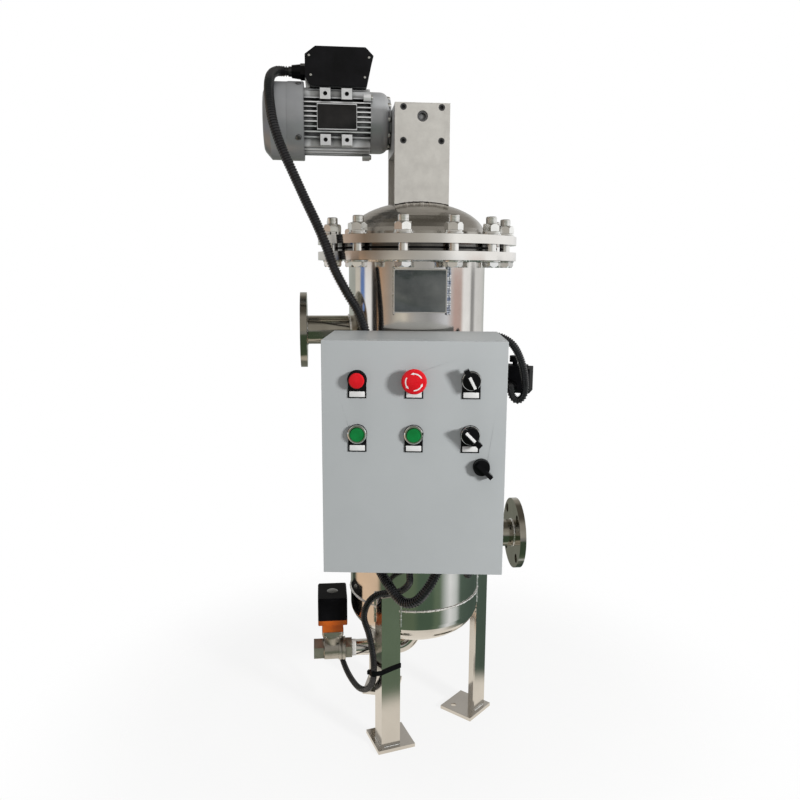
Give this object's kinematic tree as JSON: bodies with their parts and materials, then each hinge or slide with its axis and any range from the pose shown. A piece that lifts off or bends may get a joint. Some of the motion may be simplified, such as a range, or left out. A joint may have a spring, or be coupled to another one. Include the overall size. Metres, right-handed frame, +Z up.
{
  "type": "self cleaning filter",
  "caption": "Vertical stainless scraper filter on angle legs, with flanged nozzles, a geared motor on its dished cover, a control cabinet and a motorised drain valve.",
  "frame": {"origin": "on the vessel axis at floor level, in the middle of the anchor hole circle", "axes": "+Z up along the vessel axis, -Y towards the cabinet door, +X to the right seen from the door"},
  "size_m": [0.5441, 0.5681, 1.389],
  "materials": {
    "polished_stainless": "polished",
    "brushed_stainless": "brushed",
    "cast_stainless": "cast",
    "motor_aluminium": "painted silver grey",
    "cabinet_paint": "light grey powder coat",
    "black_plastic": "moulded",
    "orange_plastic": "moulded",
    "red_plastic": "moulded",
    "green_plastic": "moulded",
    "gasket_rubber": "black",
    "conduit_black": "corrugated",
    "screw_steel": "blackened",
    "zinc_steel": "bright",
    "dark_steel": "machined",
    "wheel_bronze": "cast bronze",
    "control_grey": "moulded"
  },
  "bodies": {
    "vessel": {"shell": "polished_stainless", "bottom_head": "polished_stainless", "shell_flange": "polished_stainless", "cover_flange": "polished_stainless", "cover_dome": "polished_stainless", "inlet_pipe": "polished_stainless", "outlet_pipe": "polished_stainless", "nameplate_bracket": "polished_stainless", "inlet_flange": "brushed_stainless", "outlet_flange": "brushed_stainless", "leg_front": "brushed_stainless", "leg_right": "brushed_stainless", "leg_rear": "brushed_stainless", "foot_front": "brushed_stainless", "foot_right": "brushed_stainless", "foot_rear": "brushed_stainless", "front_plate": "brushed_stainless", "back_plate": "brushed_stainless", "seal_housing": "brushed_stainless", "partition_ring": "brushed_stainless", "filter_screen": "brushed_stainless", "screen_top_plate": "brushed_stainless", "cabinet_brackets": "brushed_stainless", "drain_elbow": "cast_stainless", "valve_body": "cast_stainless", "valve_bracket": "cast_stainless", "gearbox_housing": "motor_aluminium", "motor_frame": "motor_aluminium", "motor_shield": "motor_aluminium", "fan_cowl": "motor_aluminium", "cabinet_body": "cabinet_paint", "actuator_cover": "black_plastic", "terminal_box": "black_plastic", "cable_glands": "black_plastic", "pressure_switch": "black_plastic", "actuator_base": "orange_plastic", "cover_gasket": "gasket_rubber", "motor_conduit": "conduit_black", "valve_conduit": "conduit_black", "switch_conduit": "conduit_black", "plate_screws": "screw_steel", "cover_studs": "zinc_steel", "stud_nuts": "zinc_steel", "stud_washers": "zinc_steel", "control_gear": "control_grey"},
    "scraper": {"scraper_shaft": "brushed_stainless", "scraper_blades": "gasket_rubber", "worm_wheel": "wheel_bronze"},
    "rotor": {"motor_rotor": "dark_steel", "motor_fan": "black_plastic"},
    "ball": {"valve_ball": "cast_stainless"},
    "door": {"cabinet_door": "cabinet_paint", "door_fittings": "black_plastic"},
    "stop_red": {"red_button": "red_plastic"},
    "start_left": {"green_button_left": "green_plastic"},
    "start_mid": {"green_button_mid": "green_plastic"},
    "estop": {"estop_head": "red_plastic"},
    "upper_selector": {"selector_upper": "black_plastic"},
    "lower_selector": {"selector_lower": "black_plastic"},
    "lock": {"lock_cam": "black_plastic"}
  },
  "joints": [
    {"name": "scraper_spin", "type": "hinge", "parent": "vessel", "child": "scraper", "pos_m": [0, 0, 0.7], "axis": [0, 0, 1], "continuous": true},
    {"name": "rotor_spin", "type": "hinge", "parent": "vessel", "child": "rotor", "pos_m": [-0.15394, 0.02008, 1.259], "axis": [-0.9914, -0.1305, 0], "continuous": true},
    {"name": "drain_valve_turn", "type": "hinge", "parent": "vessel", "child": "ball", "pos_m": [-0.17499, -0.02304, 0.158], "axis": [0, 0, 1], "range_deg": [0, 90]},
    {"name": "door_hinge", "type": "hinge", "parent": "vessel", "child": "door", "pos_m": [-0.144, -0.331, 0.665], "axis": [0, 0, -1], "range_deg": [0, 110]},
    {"name": "red_button_press", "type": "slide", "parent": "door", "child": "stop_red", "axis": [0, 1, 0], "range_m": [0, 0.003], "stiffness_N_per_m": 400},
    {"name": "green_left_press", "type": "slide", "parent": "door", "child": "start_left", "axis": [0, 1, 0], "range_m": [0, 0.003], "stiffness_N_per_m": 400},
    {"name": "green_mid_press", "type": "slide", "parent": "door", "child": "start_mid", "axis": [0, 1, 0], "range_m": [0, 0.003], "stiffness_N_per_m": 400},
    {"name": "estop_press", "type": "slide", "parent": "door", "child": "estop", "axis": [0, 1, 0], "range_m": [0, 0.005]},
    {"name": "upper_selector_turn", "type": "hinge", "parent": "door", "child": "upper_selector", "pos_m": [0.092, -0.346, 0.798], "axis": [0, 1, 0], "range_deg": [0, 90]},
    {"name": "lower_selector_turn", "type": "hinge", "parent": "door", "child": "lower_selector", "pos_m": [0.092, -0.346, 0.709], "axis": [0, 1, 0], "range_deg": [0, 90]},
    {"name": "lock_turn", "type": "hinge", "parent": "door", "child": "lock", "pos_m": [0.111, -0.346, 0.656], "axis": [0, 1, 0], "range_deg": [-90, 0]}
  ],
  "couplings": [
    {"joint": "rotor_spin", "follows": "scraper_spin", "ratio": 30}
  ]
}
